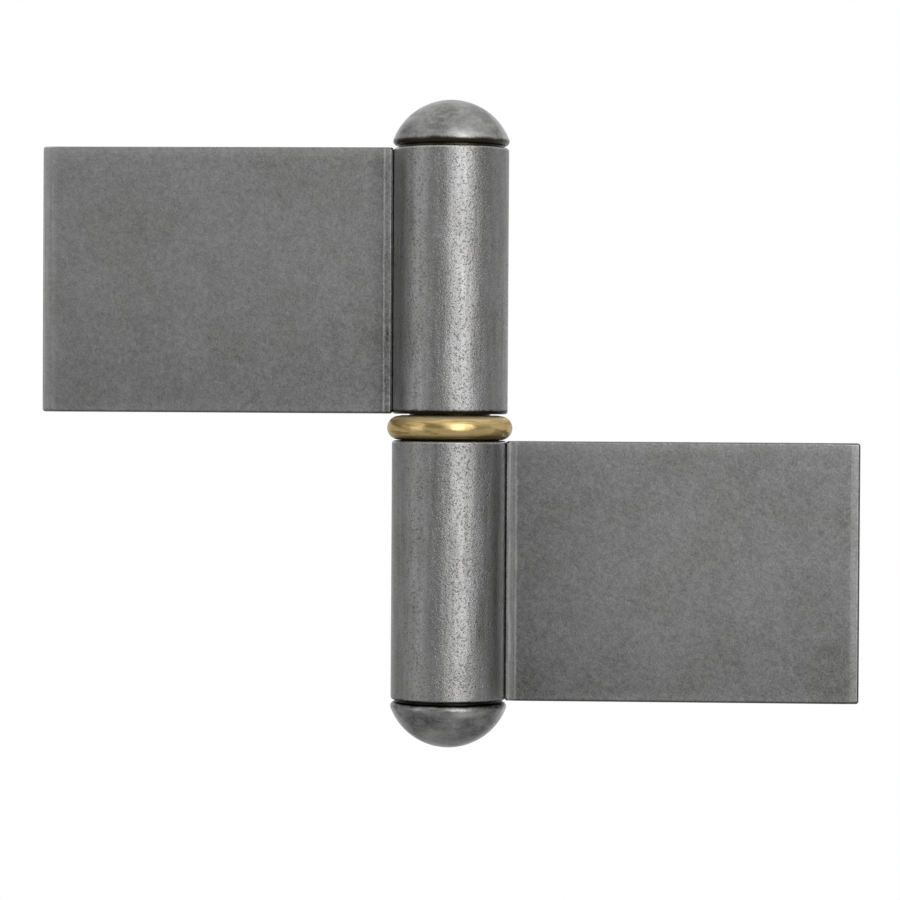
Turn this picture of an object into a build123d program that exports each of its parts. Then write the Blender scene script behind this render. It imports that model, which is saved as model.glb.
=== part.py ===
from build123d import *
import math
import os

# Lift-off weld-on hinge: two steel halves on one pin, with a brass ring between them.
# Millimetres. The pin axis is Z. The lower leaf points to +X and the upper leaf to -X.
# The origin is on the pin axis, half way up the whole hinge.

# Driving dimensions of the barrels
barrel_diameter = 20.0
lower_length = 44.8
upper_length = 45.9
barrel_end_radius = 0.5
bore_chamfer = 0.6

# Pin and its fits
pin_diameter = 14.0
pin_running_clearance = 0.05
pin_end_space = 4.7
pin_end_chamfer = 1.0

# Brass ring
ring_overhang = 0.85
ring_height = 4.35
ring_rim_relief = 0.095
ring_relief_width = 0.35
ring_clearance = 0.1
ring_bore_chamfer = 0.2
axial_play = 0.25

# Domed caps, each seated on the barrel's end inside a groove that runs round under the lip
cap_overhang = 0.06
cap_height = 8.35
cap_lip_radius = 0.85
lip_groove_height = 0.35
lip_groove_depth = 1.2
spigot_length = 6.0
spigot_chamfer = 0.6

# Leaves, cut from flat bar with rolled long edges
leaf_width = 60.75
leaf_thickness = 5.0
weld_band = 2.8
edge_roll_width = 1.6
edge_roll_drop = 0.2
long_edge_radius = 0.5
cut_edge_radius = 0.4
leaf_corner_radius = 0.5

# Heights, from the bottom of the lower cap to the top of the upper one
overall_height = 2 * cap_height + lower_length + ring_height + axial_play + upper_length
lower_bottom = cap_height - overall_height / 2
lower_top = lower_bottom + lower_length
ring_top = lower_top + ring_height
upper_bottom = ring_top + axial_play
upper_top = upper_bottom + upper_length

# Radii that follow from the driving dimensions
barrel_radius = barrel_diameter / 2
pin_radius = pin_diameter / 2
running_bore_radius = pin_radius + pin_running_clearance
half_thickness = leaf_thickness / 2
weld_edge_x = math.sqrt(barrel_radius**2 - (weld_band / 2)**2)
leaf_reach = weld_edge_x + leaf_width

# Two places closer than this are the same place when an edge is looked up
same_place = 0.001


def chamfered_edges(solid, radius, height, size):
    """Chamfer the circular edges of a solid that have this radius and lie at this height."""
    found = [
        edge for edge in solid.edges().filter_by(GeomType.CIRCLE)
        if abs(edge.radius - radius) < same_place
        and abs(edge.center().Z - height) < same_place
    ]
    return chamfer(found, size)


def make_barrel(bottom, length, bore_radius):
    """Tube with rounded outer ends and a lead-in at both ends of its bore."""
    top = bottom + length
    tube = Pos(0, 0, bottom) * Cylinder(
        barrel_radius, length, align=(Align.CENTER, Align.CENTER, Align.MIN)
    )
    tube = fillet(tube.edges().filter_by(GeomType.CIRCLE), barrel_end_radius)
    tube -= Pos(0, 0, bottom) * Cylinder(
        bore_radius, length, align=(Align.CENTER, Align.CENTER, Align.MIN)
    )
    tube = chamfered_edges(tube, bore_radius, bottom, bore_chamfer)
    return chamfered_edges(tube, bore_radius, top, bore_chamfer)


def leaf_section():
    """Flat bar section in the XY plane: its long edges roll over before their small radius."""
    near = weld_edge_x
    far = leaf_reach
    shoulder = half_thickness - edge_roll_drop
    outline = Polyline(
        (near, -shoulder),
        (near + edge_roll_width, -half_thickness),
        (far - edge_roll_width, -half_thickness),
        (far, -shoulder),
        (far, shoulder),
        (far - edge_roll_width, half_thickness),
        (near + edge_roll_width, half_thickness),
        (near, shoulder),
        close=True,
    )
    face = make_face(outline)
    corners = [
        corner for corner in face.vertices()
        if abs(abs(corner.Y) - shoulder) < same_place
    ]
    return fillet(corners, long_edge_radius)


def make_leaf(bottom, length):
    """Leaf pointing to +X. Its long edge is coped onto the barrel over the weld band."""
    bar = Pos(0, 0, bottom) * extrude(leaf_section(), length)
    corners = [
        edge for edge in bar.edges().filter_by(Axis.Y)
        if edge.center().X > leaf_reach - edge_roll_width
    ]
    bar = fillet(corners, leaf_corner_radius)
    cut_ends = bar.faces().sort_by(Axis.Z)
    bar = fillet(cut_ends[0].edges() + cut_ends[-1].edges(), cut_edge_radius)
    barrel_space = Pos(0, 0, bottom) * Cylinder(
        barrel_radius, length, align=(Align.CENTER, Align.CENTER, Align.MIN)
    )
    return bar - barrel_space


def make_cap(spigot_radius):
    """Domed cap standing on the plane z = 0, with its spigot below that plane."""
    seat_radius = barrel_radius - lip_groove_depth
    lip_centre = barrel_radius + cap_overhang - cap_lip_radius
    lip_middle_height = lip_groove_height + cap_lip_radius
    crown_rise = cap_height - lip_middle_height
    crown_radius = (lip_centre**2 + crown_rise**2 - cap_lip_radius**2) / (
        2 * (crown_rise - cap_lip_radius)
    )
    crown_centre = cap_height - crown_radius
    # The lip arc and the crown arc are tangent where the line of their centres meets them.
    slope = math.atan2(lip_middle_height - crown_centre, lip_centre)
    lip_mid_angle = (slope - math.pi / 2) / 2
    crown_mid_angle = (slope + math.pi / 2) / 2

    lip_end = (
        lip_centre + cap_lip_radius * math.cos(slope),
        lip_middle_height + cap_lip_radius * math.sin(slope),
    )
    lip_middle = (
        lip_centre + cap_lip_radius * math.cos(lip_mid_angle),
        lip_middle_height + cap_lip_radius * math.sin(lip_mid_angle),
    )
    crown_middle = (
        crown_radius * math.cos(crown_mid_angle),
        crown_centre + crown_radius * math.sin(crown_mid_angle),
    )
    with BuildPart() as cap:
        with BuildSketch(Plane.XZ):
            with BuildLine():
                Polyline(
                    (0, cap_height),
                    (0, -spigot_length),
                    (spigot_radius - spigot_chamfer, -spigot_length),
                    (spigot_radius, spigot_chamfer - spigot_length),
                    (spigot_radius, 0),
                    (seat_radius, 0),
                    (seat_radius, lip_groove_height),
                    (lip_centre, lip_groove_height),
                )
                ThreePointArc((lip_centre, lip_groove_height), lip_middle, lip_end)
                ThreePointArc(lip_end, crown_middle, (0, cap_height))
            make_face()
        revolve(axis=Axis.Z)
    return cap.part


def make_ring():
    """Brass ring with a half-round rim, a little thicker where it bears on the barrels."""
    half_height = ring_height / 2
    bore_radius = pin_radius + ring_clearance
    rim_radius = half_height - ring_rim_relief
    rim_centre = barrel_radius + ring_overhang - rim_radius
    face_radius = rim_centre - ring_relief_width
    middle = lower_top + half_height
    with BuildPart() as ring:
        with BuildSketch(Plane.XZ):
            with BuildLine():
                Polyline(
                    (rim_centre, rim_radius),
                    (face_radius, half_height),
                    (bore_radius, half_height),
                    (bore_radius, -half_height),
                    (face_radius, -half_height),
                    (rim_centre, -rim_radius),
                )
                ThreePointArc(
                    (rim_centre, -rim_radius),
                    (rim_centre + rim_radius, 0),
                    (rim_centre, rim_radius),
                )
            make_face()
        revolve(axis=Axis.Z)
    turned = chamfered_edges(ring.part, bore_radius, half_height, ring_bore_chamfer)
    turned = chamfered_edges(turned, bore_radius, -half_height, ring_bore_chamfer)
    return Pos(0, 0, middle) * turned


def make_pin():
    """Plain pin: pressed through the lower barrel, standing up into the upper one."""
    foot = lower_bottom + spigot_length
    tip = upper_top - spigot_length - pin_end_space
    pin = Pos(0, 0, foot) * Cylinder(
        pin_radius, tip - foot, align=(Align.CENTER, Align.CENTER, Align.MIN)
    )
    return chamfer(pin.edges().filter_by(GeomType.CIRCLE), pin_end_chamfer)


def build_pieces():
    """Every piece of the hinge, in place, by the name of its file."""
    upside_down = Rot(180, 0, 0)
    to_the_left = Rot(0, 0, 180)
    return {
        "lower_barrel": make_barrel(lower_bottom, lower_length, pin_radius),
        "lower_leaf": make_leaf(lower_bottom, lower_length),
        "lower_cap": Pos(0, 0, lower_bottom) * upside_down * make_cap(pin_radius),
        "hinge_pin": make_pin(),
        "bearing_ring": make_ring(),
        "upper_barrel": make_barrel(upper_bottom, upper_length, running_bore_radius),
        "upper_leaf": to_the_left * make_leaf(upper_bottom, upper_length),
        "upper_cap": Pos(0, 0, upper_top) * make_cap(running_bore_radius),
    }


os.makedirs("parts", exist_ok=True)
for name, piece in build_pieces().items():
    export_step(piece, f"parts/{name}.step")
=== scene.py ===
import math

import bpy
from mathutils import Matrix, Vector


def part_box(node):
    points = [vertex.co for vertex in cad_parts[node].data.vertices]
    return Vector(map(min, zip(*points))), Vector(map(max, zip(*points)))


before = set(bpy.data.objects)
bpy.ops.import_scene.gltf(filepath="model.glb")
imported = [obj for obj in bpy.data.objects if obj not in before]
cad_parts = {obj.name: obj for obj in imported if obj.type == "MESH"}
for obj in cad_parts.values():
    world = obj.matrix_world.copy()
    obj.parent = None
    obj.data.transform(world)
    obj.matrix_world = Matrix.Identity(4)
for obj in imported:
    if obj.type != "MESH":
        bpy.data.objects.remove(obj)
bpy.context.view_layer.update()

# Lengths are in metres and angles in degrees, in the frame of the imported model.
MM = 0.001

# The camera stands almost square to the leaves, a little to the right of the pin axis
camera_distance = 0.600
camera_turn = -2.81
camera_tilt = -0.945
camera_roll = 0.34
camera_side_shift = 0.035 * MM
camera_up_shift = -4.495 * MM
camera_clip_start = 0.01
picture_width = 900
focal_length_in_pixels = 3467.2
sensor_width_in_mm = 36.0

# Linear reflectance of the bare steels. Each material says how far its surface strays from it.
upper_leaf_grey = 0.249
lower_leaf_grey = 0.204
barrel_grey = 0.30
cap_grey = 0.29
pin_grey = 0.40

# Linear colours of the brass, of the grime, grease and painted shade on the steel, and of the floor
polished_brass = (0.78, 0.575, 0.26, 1.0)
pale_brass = (1.0, 0.86, 0.54, 1.0)
tarnished_brass = (0.33, 0.22, 0.07, 1.0)
foot_tarnish_and_shade = (0.20, 0.145, 0.05, 1.0)
barrel_grease_and_shade = (0.022, 0.019, 0.012, 1.0)
pin_grease_and_shade = (0.02, 0.017, 0.010, 1.0)
black_grime_and_shade = (0.02, 0.02, 0.018, 1.0)
olive_grime_and_shade = (0.05, 0.048, 0.03, 1.0)
floor_grey = (0.48, 0.48, 0.48, 1.0)

# Roughness of the surfaces. The barrels get theirs where they are dressed.
leaf_roughness = 0.46
cap_roughness = 0.32
pin_roughness = 0.27
ring_roughness = 0.21
floor_roughness = 0.9

# What polished edges take off that roughness, and what the scuffs on the ring's top add to it
rounded_edge_gloss = 0.31
upper_rim_gloss = 0.10
scuffed_top_roughness = 0.32

# How bright the barrels and the ring are at grazing angles, where dust dulls them
barrel_grazing = 0.75
brass_grazing = 0.5

# The share of the brass that reflects as metal. The rest is a matt skin of its own colour.
brass_metallic = 0.8

# Tones of both leaves, as shares of their grey, and how far from an edge the broad ones reach
# Wear and painted highlight along the leaves' outer edges
edge_wear_and_sheen = 0.06
strip_streaking = 1.2
# A painted highlight along the top edge
top_glow = 0.24
top_glow_reach = 2.6 * MM
# Painted shade towards the foot, and a painted highlight along the foot's edge
foot_shade = -0.13
foot_shade_reach = 26 * MM
foot_glow = 0.08
foot_glow_reach = 2.0 * MM
# How far each leaf's outer tone reaches: painted shade on the lower leaf, painted light on the upper
# one
outer_tone_reach = 34 * MM
cut_side_shade = -0.65
# Painted light on the cut sides beside the barrel, in the crevice
cut_side_glow = 1.6

# Tones of both barrels and of both caps, as shares of their grey.
# The upper rim tone is polish and painted highlight, and the lower rim tone painted shade.
pit_tone = -0.30
upper_rim_polish_and_highlight = 0.6
lower_rim_painted_shade = -0.8
# A painted highlight on the caps' lips
cap_lip_glow = 0.2

# Levels that the steel sees: the grey studio, what is added to it overhead, and the background
studio_level = 0.34
level_above = 0.52
white_level = 1.0


def aim_camera():
    """Make the camera and place it on its line of sight."""
    turn = math.radians(camera_turn)
    tilt = math.radians(camera_tilt)
    roll = math.radians(camera_roll)
    forward = Vector((
        math.sin(turn) * math.cos(tilt),
        math.cos(turn) * math.cos(tilt),
        math.sin(tilt),
    ))
    level_right = Vector((math.cos(turn), -math.sin(turn), 0.0))
    level_up = level_right.cross(forward)
    right = level_right * math.cos(roll) + level_up * math.sin(roll)
    up = level_up * math.cos(roll) - level_right * math.sin(roll)
    place = right * camera_side_shift + up * camera_up_shift - forward * camera_distance

    lens = bpy.data.cameras.new("camera")
    lens.sensor_width = sensor_width_in_mm
    lens.lens = focal_length_in_pixels / picture_width * sensor_width_in_mm
    lens.clip_start = camera_clip_start
    camera = bpy.data.objects.new("camera", lens)
    turned = Matrix((right, up, -forward)).transposed().to_4x4()
    camera.matrix_world = Matrix.Translation(place) @ turned
    bpy.context.scene.collection.objects.link(camera)
    bpy.context.scene.camera = camera


class Nodes:
    """A node tree, with short calls for the few kinds of node used here."""

    def __init__(self, tree):
        self.tree = tree

    def node(self, kind, **settings):
        """A new node of this kind, with these settings."""
        made = self.tree.nodes.new(kind)
        for name, value in settings.items():
            setattr(made, name, value)
        return made

    def feed(self, socket, value):
        """Give a socket a constant, or link another node's output to it."""
        if isinstance(value, bpy.types.NodeSocket):
            self.tree.links.new(value, socket)
        else:
            socket.default_value = value

    def math(self, operation, first, second=0.0):
        made = self.node("ShaderNodeMath", operation=operation)
        self.feed(made.inputs[0], first)
        self.feed(made.inputs[1], second)
        return made.outputs[0]

    def total(self, first, *others):
        for other in others:
            first = self.math("ADD", first, other)
        return first

    def minus(self, first, second):
        return self.math("SUBTRACT", first, second)

    def times(self, first, second):
        return self.math("MULTIPLY", first, second)

    def rise(self, value, none, full, height=1.0):
        """0 at the first value, passing smoothly to this height at the second."""
        made = self.node("ShaderNodeMapRange", interpolation_type="SMOOTHSTEP")
        self.feed(made.inputs["Value"], value)
        made.inputs["From Min"].default_value = none
        made.inputs["From Max"].default_value = full
        made.inputs["To Min"].default_value = 0.0
        made.inputs["To Max"].default_value = height
        return made.outputs["Result"]

    def fade(self, distance, full, none):
        """1 up to the first distance, falling to 0 at the second."""
        return self.rise(distance, none, full)

    def ridge(self, distance, middle, half_width):
        """1 at a distance, falling to 0 at half a width on both sides of it."""
        aside = self.math("ABSOLUTE", self.minus(distance, middle))
        return self.fade(aside, full=0.0, none=half_width)

    def spread(self, noise, width):
        """Noise from 0 to 1, shifted and scaled to lie about zero."""
        return self.times(self.minus(noise, 0.5), width)

    def parts_of(self, vector):
        """The X, Y and Z of a vector."""
        split = self.node("ShaderNodeSeparateXYZ")
        self.feed(split.inputs[0], vector)
        return split.outputs[0], split.outputs[1], split.outputs[2]


class Shader(Nodes):
    """A material's node tree, with the object's own coordinates, noise, colours and bumps."""

    def __init__(self, name):
        self.material = bpy.data.materials.new(name)
        self.material.use_nodes = True
        super().__init__(self.material.node_tree)
        self.surface = self.tree.nodes["Principled BSDF"]
        self.coordinates = self.node("ShaderNodeTexCoord")
        self.place = self.coordinates.outputs["Object"]

    def axes(self):
        """The object's own X, Y and Z at the shaded point."""
        return self.parts_of(self.place)

    def facing(self):
        """How far the surface itself faces along the object's own X, Y and Z, from -1 to 1."""
        return self.parts_of(self.coordinates.outputs["Normal"])

    def stretched(self, factors):
        """The object's own coordinates, multiplied along X, Y and Z."""
        mapping = self.node("ShaderNodeMapping")
        self.feed(mapping.inputs["Vector"], self.place)
        mapping.inputs["Scale"].default_value = factors
        return mapping.outputs["Vector"]

    def noise(self, size, detail=3.0, roughness=0.5, distortion=0.0, stretch=(1, 1, 1), seed=0.0):
        """Noise from 0 to 1 whose blotches are about this size, in metres."""
        made = self.node("ShaderNodeTexNoise", noise_dimensions="4D")
        self.feed(made.inputs["Vector"], self.stretched(stretch))
        made.inputs["W"].default_value = seed
        made.inputs["Scale"].default_value = 1.0 / size
        made.inputs["Detail"].default_value = detail
        made.inputs["Roughness"].default_value = roughness
        made.inputs["Distortion"].default_value = distortion
        return made.outputs["Fac"]

    def mix(self, amount, first, second):
        """The first colour where the amount is 0, and the second where it is 1."""
        made = self.node("ShaderNodeMix", data_type="RGBA")
        self.feed(made.inputs["Factor"], amount)
        self.feed(made.inputs[6], first)
        self.feed(made.inputs[7], second)
        return made.outputs[2]

    def shaded(self, colour, level):
        """A colour made lighter or darker by this share of itself."""
        made = self.node("ShaderNodeVectorMath", operation="SCALE")
        if not isinstance(colour, bpy.types.NodeSocket):
            colour = colour[:3]
        self.feed(made.inputs[0], colour)
        self.feed(made.inputs["Scale"], self.total(1.0, level))
        return made.outputs[0]

    def bump(self, height, depth, under=None):
        """Bump of this depth in metres for a height from 0 to 1, laid over another bump."""
        made = self.node("ShaderNodeBump")
        made.inputs["Distance"].default_value = depth
        self.feed(made.inputs["Height"], height)
        if under is not None:
            self.feed(made.inputs["Normal"], under)
        return made.outputs["Normal"]

    def finish(self, colour, roughness, normal, metallic=1.0, grazing=1.0):
        """Give the surface its look and return the material. Grazing is 1 where no dust dulls it."""
        self.surface.inputs["Metallic"].default_value = metallic
        self.surface.inputs["Specular Tint"].default_value = (grazing, grazing, grazing, 1.0)
        self.feed(self.surface.inputs["Base Color"], colour)
        self.feed(self.surface.inputs["Roughness"], roughness)
        self.feed(self.surface.inputs["Normal"], normal)
        return self.material


def grey(level, warmth=0.0):
    """A linear grey, a little warm or, with a negative warmth, a little cool."""
    return (level * (1 + warmth), level, level * (1 - 2 * warmth), 1.0)


def patchy_grey(steel, patches, level, warmest, coolest):
    """A grey whose warmth changes from patch to patch."""
    coolness = steel.rise(patches, none=0.35, full=0.65)
    return steel.mix(coolness, grey(level, warmest), grey(level, coolest))


def wear_and_painted_light_strips(steel, from_edge, from_root, edge_glow, root_strip, shoulder_glow, crevice_glow):
    """Streaky strips of wear and painted light along a leaf's long edges. Those beside the barrel,
    in front only, are painted reflection and shade.
    """
    edge_strip = steel.total(
        steel.times(steel.fade(from_edge, full=0.9 * MM, none=1.6 * MM), edge_wear_and_sheen),
        steel.times(steel.fade(from_edge, full=0.0, none=2.8 * MM), edge_glow),
    )
    # Painted reflection and shade on the bevel and in the crevice beside the barrel, in front only
    root_band = steel.times(steel.fade(from_root, full=1.5 * MM, none=2.1 * MM), root_strip)
    shoulder = steel.ridge(from_root, middle=1.5 * MM, half_width=0.35 * MM)
    crevice = steel.ridge(from_root, middle=0.5 * MM, half_width=0.5 * MM)
    root_ridges = steel.total(
        steel.times(shoulder, shoulder_glow), steel.times(crevice, crevice_glow)
    )
    _, out_of_face, _ = steel.facing()
    in_front = steel.rise(out_of_face, none=0.3, full=-0.3)
    painted_root_light_and_shade = steel.times(steel.total(root_band, root_ridges), in_front)
    streaks = steel.noise(0.5 * MM, detail=2, stretch=(1, 1, 0.07), seed=2.0)
    streaking = steel.total(1.0, steel.spread(streaks, strip_streaking))
    return steel.times(steel.total(edge_strip, painted_root_light_and_shade), streaking)


def face_shades(steel, from_edge, from_root, from_top, from_foot, outer_tone, root_shades):
    """Painted light and shade over broad stretches of a leaf, from each of its edges inwards.

    Each root shade is painted shade beside the barrel: how much the leaf darkens there, and how far
    out that reaches.
    """
    outer = steel.times(steel.fade(from_edge, full=0.0, none=outer_tone_reach), outer_tone)
    top = steel.times(steel.fade(from_top, full=0.0, none=top_glow_reach), top_glow)
    foot = steel.total(
        steel.times(steel.fade(from_foot, full=0.0, none=foot_shade_reach), foot_shade),
        steel.times(steel.fade(from_foot, full=0.6 * MM, none=foot_glow_reach), foot_glow),
    )
    beside_barrel = [
        steel.times(steel.fade(from_root, full=2.0 * MM, none=reach), -shade)
        for shade, reach in root_shades
    ]
    return steel.total(outer, top, foot, *beside_barrel)


def cut_side_tone(steel, flat, from_root):
    """The cut sides of a leaf are darker than its faces, except close to the barrel, where painted
    light lifts the crevice.
    """
    beside_barrel = steel.fade(from_root, full=0.5 * MM, none=1.0 * MM)
    tone = steel.total(cut_side_shade, steel.times(beside_barrel, cut_side_glow))
    return steel.times(steel.fade(flat, full=0.30, none=0.90), tone)


def leaf_material(node, leaf_grey, outer_tone, root_shades, **strips):
    """Tumbled flat bar: dull and finely mottled, with painted light and shade, partly worn long
    edges and darker cut sides.
    """
    (left, _, low), (right, _, high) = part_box(node)
    outer_edge = max(abs(left), abs(right))
    root = min(abs(left), abs(right))
    steel = Shader(node + "_steel")
    across, _, up = steel.axes()
    waver = steel.noise(3 * MM, detail=3, stretch=(1, 1, 0.5), seed=5.0)
    out = steel.total(steel.math("ABSOLUTE", across), steel.spread(waver, 0.7 * MM))
    from_edge = steel.minus(outer_edge, out)
    from_root = steel.minus(out, root)
    from_top = steel.minus(high, up)
    from_foot = steel.minus(up, low)
    _, out_of_face, _ = steel.facing()
    flat = steel.math("ABSOLUTE", out_of_face)

    grain = steel.noise(0.32 * MM, detail=2, roughness=0.6, distortion=0.3)
    mottle = steel.noise(0.9 * MM, detail=2, distortion=0.5, seed=3.0)
    clouds = steel.noise(2.4 * MM, detail=3, distortion=0.8, seed=13.0)
    patches = steel.noise(10 * MM, detail=3, seed=7.0)
    level = steel.total(
        steel.spread(grain, 0.95), steel.spread(mottle, 0.55),
        steel.spread(clouds, 0.26), steel.spread(patches, 0.34),
        wear_and_painted_light_strips(steel, from_edge, from_root, **strips),
        face_shades(steel, from_edge, from_root, from_top, from_foot, outer_tone, root_shades),
        cut_side_tone(steel, flat, from_root),
    )
    colour = steel.shaded(patchy_grey(steel, patches, leaf_grey, 0.006, -0.003), level)

    rounded = steel.fade(flat, full=0.965, none=0.991)
    roughness = steel.minus(leaf_roughness, steel.times(rounded, rounded_edge_gloss))
    dented = steel.bump(patches, depth=0.06 * MM)
    clouded = steel.bump(clouds, depth=0.03 * MM, under=dented)
    mottled = steel.bump(mottle, depth=0.03 * MM, under=clouded)
    grained = steel.bump(grain, depth=0.014 * MM, under=mottled)
    return steel.finish(colour, roughness, grained)


def barrel_material(node, leaf_side, painted_light_beside_leaf, greased_and_shaded_rim, body_level, dullness):
    """Drawn round: pitted and faintly streaked, its upper rim bright with polish and painted
    highlight and its lower one dark with painted shade.

    The leaf is on side 1 or -1 along X, and painted light brightens the barrel beside it. The
    greased and shaded rim is how far up from the barrel's foot dark grease and painted shade reach.
    """
    (_, _, low), (radius, _, _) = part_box(node)
    steel = Shader(node + "_steel")
    across, _, up = steel.axes()
    _, _, upward = steel.facing()
    grain = steel.noise(0.32 * MM, detail=3, roughness=0.8, distortion=0.2)
    specks = steel.noise(0.38 * MM, detail=2, roughness=0.6, seed=11.0)
    pits = steel.rise(specks, none=0.54, full=0.68)
    blotches = steel.noise(1.4 * MM, detail=3, roughness=0.6, distortion=0.8, seed=21.0)
    streaks = steel.noise(0.9 * MM, detail=2, stretch=(1, 1, 0.08), seed=5.0)
    patches = steel.noise(5 * MM, detail=3, stretch=(1, 1, 0.6), seed=9.0)

    # Rims facing up get polish and painted highlight, rims facing down painted shade
    upper_rim = steel.rise(upward, none=0.05, full=0.35)
    lower_rim = steel.rise(upward, none=-0.08, full=-0.45)
    towards_leaf = steel.times(across, leaf_side)
    level = steel.total(
        steel.spread(grain, 1.2), steel.spread(blotches, 0.35), steel.spread(streaks, 0.8),
        steel.spread(patches, 0.5), steel.times(pits, pit_tone), body_level,
        steel.times(upper_rim, upper_rim_polish_and_highlight), steel.times(lower_rim, lower_rim_painted_shade),
        # Painted light on the stretch of barrel beside the leaf
        steel.rise(towards_leaf, none=0.80 * radius, full=0.97 * radius, height=painted_light_beside_leaf),
    )
    clean = steel.shaded(patchy_grey(steel, patches, barrel_grey, 0.008, 0.0), level)
    # Dark grease and painted shade at the barrel's foot
    smear = steel.total(steel.minus(up, low), steel.spread(blotches, 0.5 * MM))
    greased_and_shaded = steel.fade(smear, full=0.5 * greased_and_shaded_rim, none=greased_and_shaded_rim)
    colour = steel.mix(greased_and_shaded, clean, barrel_grease_and_shade)

    roughness = steel.total(
        dullness, steel.spread(grain, 0.08), steel.spread(blotches, 0.08),
        steel.times(upper_rim, -upper_rim_gloss),
    )
    blotched = steel.bump(blotches, depth=0.025 * MM)
    drawn = steel.bump(streaks, depth=0.025 * MM, under=blotched)
    pitted = steel.bump(steel.minus(1.0, pits), depth=0.035 * MM, under=drawn)
    grained = steel.bump(grain, depth=0.060 * MM, under=pitted)
    return steel.finish(colour, roughness, grained, grazing=barrel_grazing)


def cap_material(node, seat, outward, grime_and_shade_height, grime_and_shade, body_level, tip_glow, painted_spot_highlight, painted_dark_reflection, seed):
    """Pressed cap: smoother than the barrel, softly blotched, and dark with grime and painted shade
    in the groove under its lip.

    Outward is 1 or -1 along Z. Heights on the cap are counted that way from its seat.
    """
    steel = Shader(node + "_steel")
    across, _, up = steel.axes()
    height = steel.times(steel.minus(up, seat), outward)

    def mark(tone, place, above, half_width, half_height):
        """A soft mark, centred at this place across the cap and above its seat."""
        wide = steel.ridge(across, place, half_width)
        tall = steel.ridge(height, above, half_height)
        return steel.times(steel.times(wide, tall), tone)

    fine = steel.noise(0.45 * MM, detail=3, roughness=0.7, seed=2.0)
    blotches = steel.noise(
        1.7 * MM, detail=4, roughness=0.6, distortion=1.2, stretch=(0.7, 0.7, 1), seed=seed
    )
    turning = steel.noise(0.6 * MM, detail=2, stretch=(0.15, 0.15, 1), seed=6.0)
    patches = steel.noise(5 * MM, detail=2, distortion=0.5, seed=seed + 10)

    level = steel.total(
        body_level, steel.spread(fine, 1.3), steel.spread(blotches, 1.3),
        steel.spread(turning, 0.6), steel.spread(patches, 2.2),
        # Painted reflection: the cap brightens towards its tip
        steel.rise(height, none=4.5 * MM, full=8.2 * MM, height=tip_glow),
        # A painted highlight on the lip
        steel.times(steel.ridge(height, middle=1.7 * MM, half_width=0.9 * MM), cap_lip_glow),
        # A painted highlight under the lip, and a painted dark reflection on the other side
        mark(painted_spot_highlight, place=3.6 * MM, above=1.9 * MM, half_width=3.2 * MM, half_height=1.1 * MM),
        mark(painted_dark_reflection, place=-2.8 * MM, above=2.9 * MM, half_width=3.4 * MM, half_height=2.2 * MM),
    )
    clean = steel.shaded(grey(cap_grey, 0.004), level)
    # Grime and painted shade in the groove under the lip
    wavering = steel.total(height, steel.spread(blotches, 0.7 * MM))
    grimy_and_shaded = steel.fade(wavering, full=grime_and_shade_height, none=grime_and_shade_height + 0.55 * MM)
    colour = steel.mix(grimy_and_shaded, clean, grime_and_shade)

    roughness = steel.total(cap_roughness, steel.spread(blotches, 0.2), steel.spread(fine, 0.1))
    waved = steel.bump(blotches, depth=0.08 * MM)
    turned = steel.bump(turning, depth=0.02 * MM, under=waved)
    grained = steel.bump(fine, depth=0.06 * MM, under=turned)
    return steel.finish(colour, roughness, grained)


def pin_material():
    """Bright drawn pin with fine drawing lines, dark with grease and painted shade round its foot
    above the ring.
    """
    steel = Shader("pin_steel_bright")
    _, _, up = steel.axes()
    ring_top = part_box("bearing_ring")[1][2]
    lines = steel.noise(0.3 * MM, detail=2, stretch=(1, 1, 0.04), seed=8.0)
    smears = steel.noise(2 * MM, detail=3, seed=3.0)
    clean = steel.shaded(grey(pin_grey), steel.spread(lines, 0.25))
    # Grease and painted shade where the pin stands in the slit above the ring
    above_ring = steel.total(steel.minus(up, ring_top), steel.spread(smears, 2 * MM))
    greased_and_shaded = steel.fade(above_ring, full=1.2 * MM, none=3.0 * MM)
    colour = steel.mix(greased_and_shaded, clean, pin_grease_and_shade)
    roughness = steel.total(pin_roughness, steel.spread(smears, 0.15))
    return steel.finish(colour, roughness, steel.bump(lines, depth=0.004 * MM))


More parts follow.
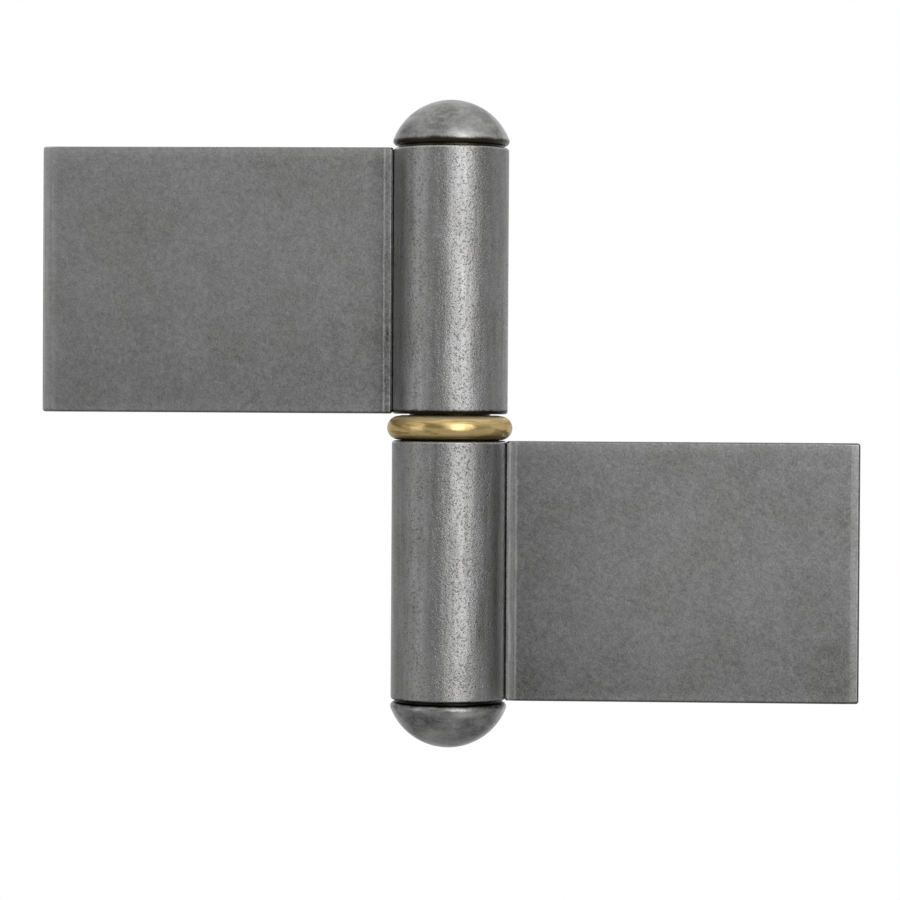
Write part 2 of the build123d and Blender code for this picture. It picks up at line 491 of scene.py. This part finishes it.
def ring_material():
    """Polished brass with streaks round it, scuffed on top and paled there by wear and painted
    highlight, and darker towards its lower face with tarnish and painted shade.
    """
    brass = Shader("ring_brass_polished")
    _, _, up = brass.axes()
    low, high = (corner[2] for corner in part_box("bearing_ring"))
    streaks = brass.noise(0.8 * MM, detail=3, stretch=(0.14, 0.14, 1), distortion=0.6, seed=1.0)
    waves = brass.noise(4 * MM, detail=2, stretch=(0.6, 0.6, 1.2), seed=6.0)
    fine = brass.noise(0.35 * MM, detail=2, seed=4.0)
    from_top = brass.minus(high, up)
    from_foot = brass.total(brass.minus(up, low), brass.spread(waves, 0.6 * MM))

    glint = brass.total(brass.spread(fine, 0.3), brass.spread(streaks, 0.6))
    polished = brass.shaded(polished_brass, glint)
    tarnish = brass.rise(streaks, none=0.47, full=0.68, height=0.85)
    streaked = brass.mix(tarnish, polished, tarnished_brass)
    # The ring's top is paled by wear and by painted highlight
    pale_top_wear_and_highlight = brass.fade(from_top, full=0.1 * MM, none=1.1 * MM)
    # Tarnish and painted shade towards the ring's lower face
    shaded_tarnished_foot = brass.fade(from_foot, full=0.55 * MM, none=1.35 * MM)
    colour = brass.mix(shaded_tarnished_foot, brass.mix(pale_top_wear_and_highlight, streaked, pale_brass), foot_tarnish_and_shade)

    scuffed_top = brass.fade(from_top, full=0.2 * MM, none=1.4 * MM)
    roughness = brass.total(
        ring_roughness, brass.spread(streaks, 0.2), brass.times(scuffed_top, scuffed_top_roughness)
    )
    wavy = brass.bump(waves, depth=0.14 * MM)
    turned = brass.bump(streaks, depth=0.05 * MM, under=wavy)
    finely_turned = brass.bump(fine, depth=0.004 * MM, under=turned)
    return brass.finish(colour, roughness, finely_turned, brass_metallic, brass_grazing)


def dress(node, material):
    """Give every slot of a CAD node this material."""
    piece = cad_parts[node]
    for slot in piece.material_slots:
        slot.material = material


def softbox(name, azimuth, elevation, distance, width, height, radiance):
    """A rectangular lamp facing the origin, whose radiance is the level that a mirror shows of it.

    Azimuth 0 is the camera's side, and a positive one is to the right.
    """
    lamp = bpy.data.lights.new(name, "AREA")
    lamp.shape = "RECTANGLE"
    lamp.size = width
    lamp.size_y = height
    lamp.energy = radiance * math.pi * width * height
    holder = bpy.data.objects.new(name, lamp)
    around = math.radians(azimuth)
    above = math.radians(elevation)
    direction = Vector((
        math.sin(around) * math.cos(above),
        -math.cos(around) * math.cos(above),
        math.sin(above),
    ))
    holder.location = direction * distance
    holder.rotation_euler = direction.to_track_quat("Z", "Y").to_euler()
    holder.visible_camera = False
    bpy.context.scene.collection.objects.link(holder)


def make_lights():
    """Two lamps at the front right, one at the front left, and a faint one on each side."""
    softbox("key", azimuth=27.5, elevation=11, distance=0.9, width=0.62, height=0.94, radiance=1.71)
    softbox("key_glow", azimuth=16, elevation=20, distance=1, width=0.66, height=1.3, radiance=0.56)
    softbox("fill", azimuth=-62, elevation=8, distance=0.9, width=0.44, height=1, radiance=0.62)
    softbox("right_side", azimuth=106, elevation=4, distance=1, width=0.7, height=1.2, radiance=0.18)
    softbox("left_side", azimuth=-106, elevation=4, distance=1, width=0.7, height=1.2, radiance=0.14)


def make_world():
    """White to the camera. The steel sees white behind the object and grey around it."""
    world = bpy.data.worlds.new("studio")
    world.use_nodes = True
    bpy.context.scene.world = world
    sky = Nodes(world.node_tree)
    background = sky.tree.nodes["Background"]
    path = sky.node("ShaderNodeLightPath").outputs
    _, behind, above = sky.parts_of(sky.node("ShaderNodeTexCoord").outputs["Generated"])

    grey_level = sky.total(studio_level, sky.rise(above, none=0.40, full=0.95, height=level_above))
    mirrored = sky.math("MAXIMUM", path["Is Glossy Ray"], path["Is Transmission Ray"])
    backdrop = sky.times(mirrored, sky.rise(behind, none=0.50, full=0.98))
    shown = sky.node("ShaderNodeMix")
    sky.feed(shown.inputs["Factor"], sky.math("MAXIMUM", path["Is Camera Ray"], backdrop))
    sky.feed(shown.inputs[2], grey_level)
    sky.feed(shown.inputs[3], white_level)
    sky.feed(background.inputs["Strength"], shown.outputs[0])
    sky.feed(background.inputs["Color"], (1, 1, 1, 1))


def make_floor():
    """A plain pale floor below the hinge, fading into the white background at its rim."""
    floor_depth = 0.14
    floor_radius = 0.22
    bpy.ops.mesh.primitive_circle_add(
        vertices=96, radius=floor_radius, fill_type="NGON", location=(0, 0, -floor_depth)
    )
    floor = bpy.context.object
    floor.name = "floor"
    paint = Shader("floor_pale")
    distance = paint.node("ShaderNodeVectorMath", operation="LENGTH")
    paint.feed(distance.inputs[0], paint.place)
    specks = paint.noise(3 * MM, detail=2)
    colour = paint.shaded(floor_grey, paint.spread(specks, 0.03))
    seen = paint.fade(distance.outputs["Value"], full=0.55 * floor_radius, none=floor_radius)
    paint.feed(paint.surface.inputs["Alpha"], seen)
    rough = paint.bump(specks, depth=0.01 * MM)
    floor.data.materials.append(paint.finish(colour, floor_roughness, rough, metallic=0.0))


aim_camera()
# Each leaf's edge glow, root strip, shoulder glow and crevice glow are painted highlight and shade
# along its edges, partly wear at the outer edge. Its outer tone and root shades are painted light
# and shade across its face.
dress("lower_leaf", leaf_material(
    "lower_leaf", lower_leaf_grey, outer_tone=-0.13,
    root_shades=((0.08, 10 * MM), (0.13, 28 * MM)),
    edge_glow=0.14, root_strip=0.84, shoulder_glow=-0.12, crevice_glow=0.85,
))
dress("upper_leaf", leaf_material(
    "upper_leaf", upper_leaf_grey, outer_tone=0.05,
    root_shades=((0.18, 4.6 * MM), (0.06, 40 * MM)),
    edge_glow=0.75, root_strip=-0.28, shoulder_glow=0.36, crevice_glow=0.14,
))
dress("lower_barrel", barrel_material(
    "lower_barrel", leaf_side=1, painted_light_beside_leaf=0.3,
    greased_and_shaded_rim=0.1 * MM, body_level=0.05, dullness=0.315,
))
dress("upper_barrel", barrel_material(
    "upper_barrel", leaf_side=-1, painted_light_beside_leaf=1.5,
    greased_and_shaded_rim=0.9 * MM, body_level=0.09, dullness=0.32,
))
lower_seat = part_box("lower_barrel")[0][2]
upper_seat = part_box("upper_barrel")[1][2]
# The lower cap's body level is painted shade, and the upper cap's painted light
dress("lower_cap", cap_material(
    "lower_cap", lower_seat, outward=-1, grime_and_shade_height=0.40 * MM, grime_and_shade=black_grime_and_shade,
    body_level=-0.12, tip_glow=0.45, painted_spot_highlight=1.1, painted_dark_reflection=-0.45, seed=5.0,
))
dress("upper_cap", cap_material(
    "upper_cap", upper_seat, outward=1, grime_and_shade_height=1.06 * MM, grime_and_shade=olive_grime_and_shade,
    body_level=0.12, tip_glow=0.15, painted_spot_highlight=0.35, painted_dark_reflection=-0.12, seed=4.0,
))
dress("hinge_pin", pin_material())
dress("bearing_ring", ring_material())
make_lights()
make_world()
make_floor()
bpy.context.scene.view_settings.view_transform = "Standard"
